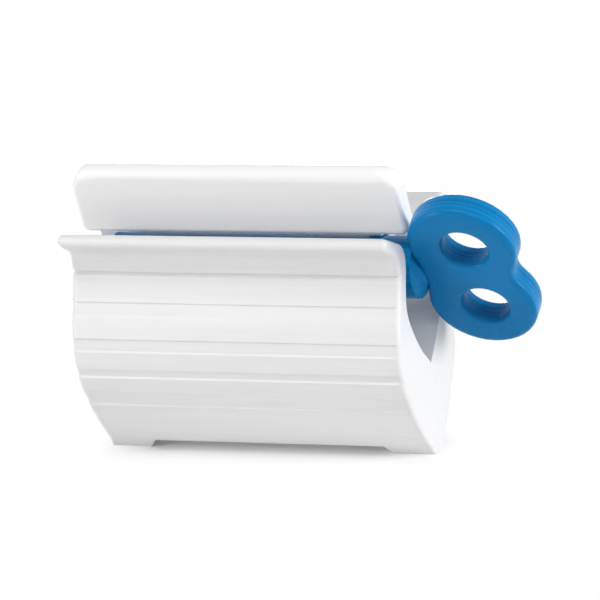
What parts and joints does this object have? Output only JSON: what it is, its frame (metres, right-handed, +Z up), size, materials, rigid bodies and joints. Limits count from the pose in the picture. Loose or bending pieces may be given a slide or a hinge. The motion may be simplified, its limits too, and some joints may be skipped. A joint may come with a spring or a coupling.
{
  "type": "toothpaste tube squeezer",
  "caption": "White trough on a narrow keel with a slanted jaw bar above it, and a blue winding key with a figure-eight handle that rolls up a tube from its crimped end.",
  "frame": {"origin": "centre of the whole object's footprint box, on the surface that it stands on", "axes": "+X along the trough towards the key's handle, +Y towards the back, away from the side that the bar leans to, +Z up"},
  "size_m": [0.1001, 0.037, 0.0658],
  "materials": {
    "shell_white": "satin gloss, moulded",
    "jaw_white": "satin gloss, moulded",
    "key_blue": "satin gloss, moulded"
  },
  "bodies": {
    "base": {"base_shell": "shell_white", "upper_jaw": "jaw_white"},
    "key": {"winding_key": "key_blue"}
  },
  "joints": [
    {"name": "key_turn", "type": "hinge", "parent": "base", "child": "key", "pos_m": [-0.01205, 0, 0.0413], "axis": [1, 0, 0], "continuous": true}
  ]
}
